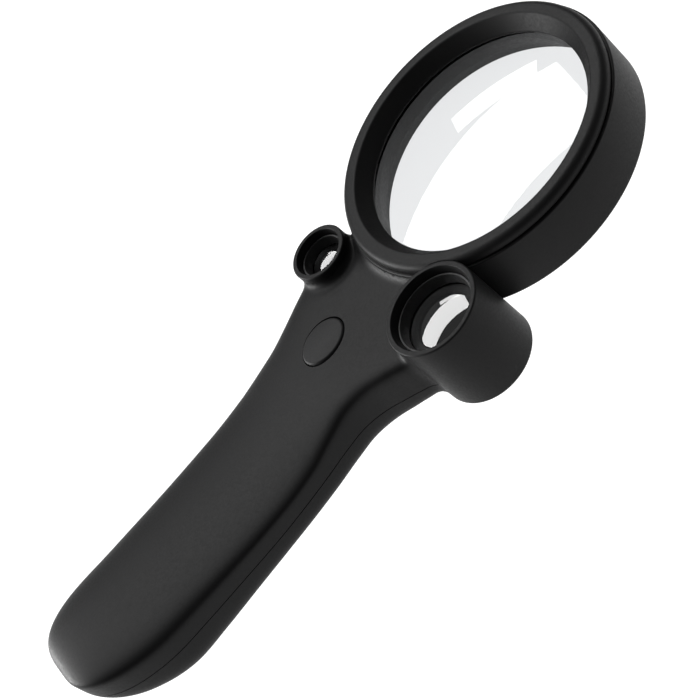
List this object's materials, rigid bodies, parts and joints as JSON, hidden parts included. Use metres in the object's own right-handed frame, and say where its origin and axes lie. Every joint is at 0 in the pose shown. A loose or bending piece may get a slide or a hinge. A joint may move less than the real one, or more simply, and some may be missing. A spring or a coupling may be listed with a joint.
{
  "type": "low vision magnifier",
  "caption": "Hand-held illuminated magnifier: large round lens in a ring, two small loupe tubes beside a short neck, a push button and a battery handle.",
  "frame": {"origin": "on the main lens axis, in the plane of the ring's rear mouth", "axes": "+Z out of the front of the lenses, +Y from the handle towards the ring, +X towards the large loupe tube"},
  "size_m": [0.0913, 0.2306, 0.0272],
  "materials": {
    "soft_black": "matt soft-touch coating",
    "inner_black": "matt moulded plastic",
    "lens": "clear polished",
    "lamp": "clear epoxy lamp",
    "board": "solder mask",
    "component": "lacquered",
    "switch_plastic": "moulded",
    "spring_steel": "nickel plated",
    "cell_jacket": "printed sleeve, plain",
    "wire_red": "insulation",
    "wire_black": "insulation",
    "wire_yellow": "insulation"
  },
  "bodies": {
    "root": {"lens_ring_wall": "soft_black", "main_bezel": "soft_black", "main_lens": "lens", "main_lens_carrier": "inner_black", "main_led_left": "lamp", "main_led_right": "lamp", "large_loupe_barrel": "soft_black", "large_loupe_lens": "lens", "large_loupe_retainer": "inner_black", "large_loupe_led_bracket": "inner_black", "large_loupe_led": "lamp", "small_loupe_barrel": "soft_black", "small_loupe_lens": "lens", "small_loupe_retainer": "inner_black", "small_loupe_led_bracket": "inner_black", "small_loupe_led": "lamp", "handle_front_shell": "soft_black", "handle_rear_shell": "soft_black", "switch_body": "switch_plastic", "circuit_board": "board", "board_resistors": "component", "board_screws": "spring_steel", "battery_end_walls": "inner_black", "battery_left": "cell_jacket", "battery_middle": "cell_jacket", "battery_right": "cell_jacket", "battery_springs": "spring_steel", "head_contact_plate": "spring_steel", "tail_contact_plate": "spring_steel", "wire_positive": "wire_red", "wire_negative": "wire_black", "led_leads_main": "wire_red", "led_leads_loupes": "wire_yellow", "shell_screws": "spring_steel"},
    "button": {"button_cap": "soft_black", "switch_plunger": "switch_plastic"},
    "battery_door": {"battery_door": "soft_black"}
  },
  "joints": [
    {"name": "button_press", "type": "slide", "parent": "root", "child": "button", "axis": [0, 0, -1], "range_m": [0, 0.0012], "stiffness_N_per_m": 900},
    {"name": "battery_door_hinge", "type": "hinge", "parent": "root", "child": "battery_door", "pos_m": [0, -0.098, -0.007], "axis": [1, 0, 0], "range_deg": [0, 80]}
  ]
}
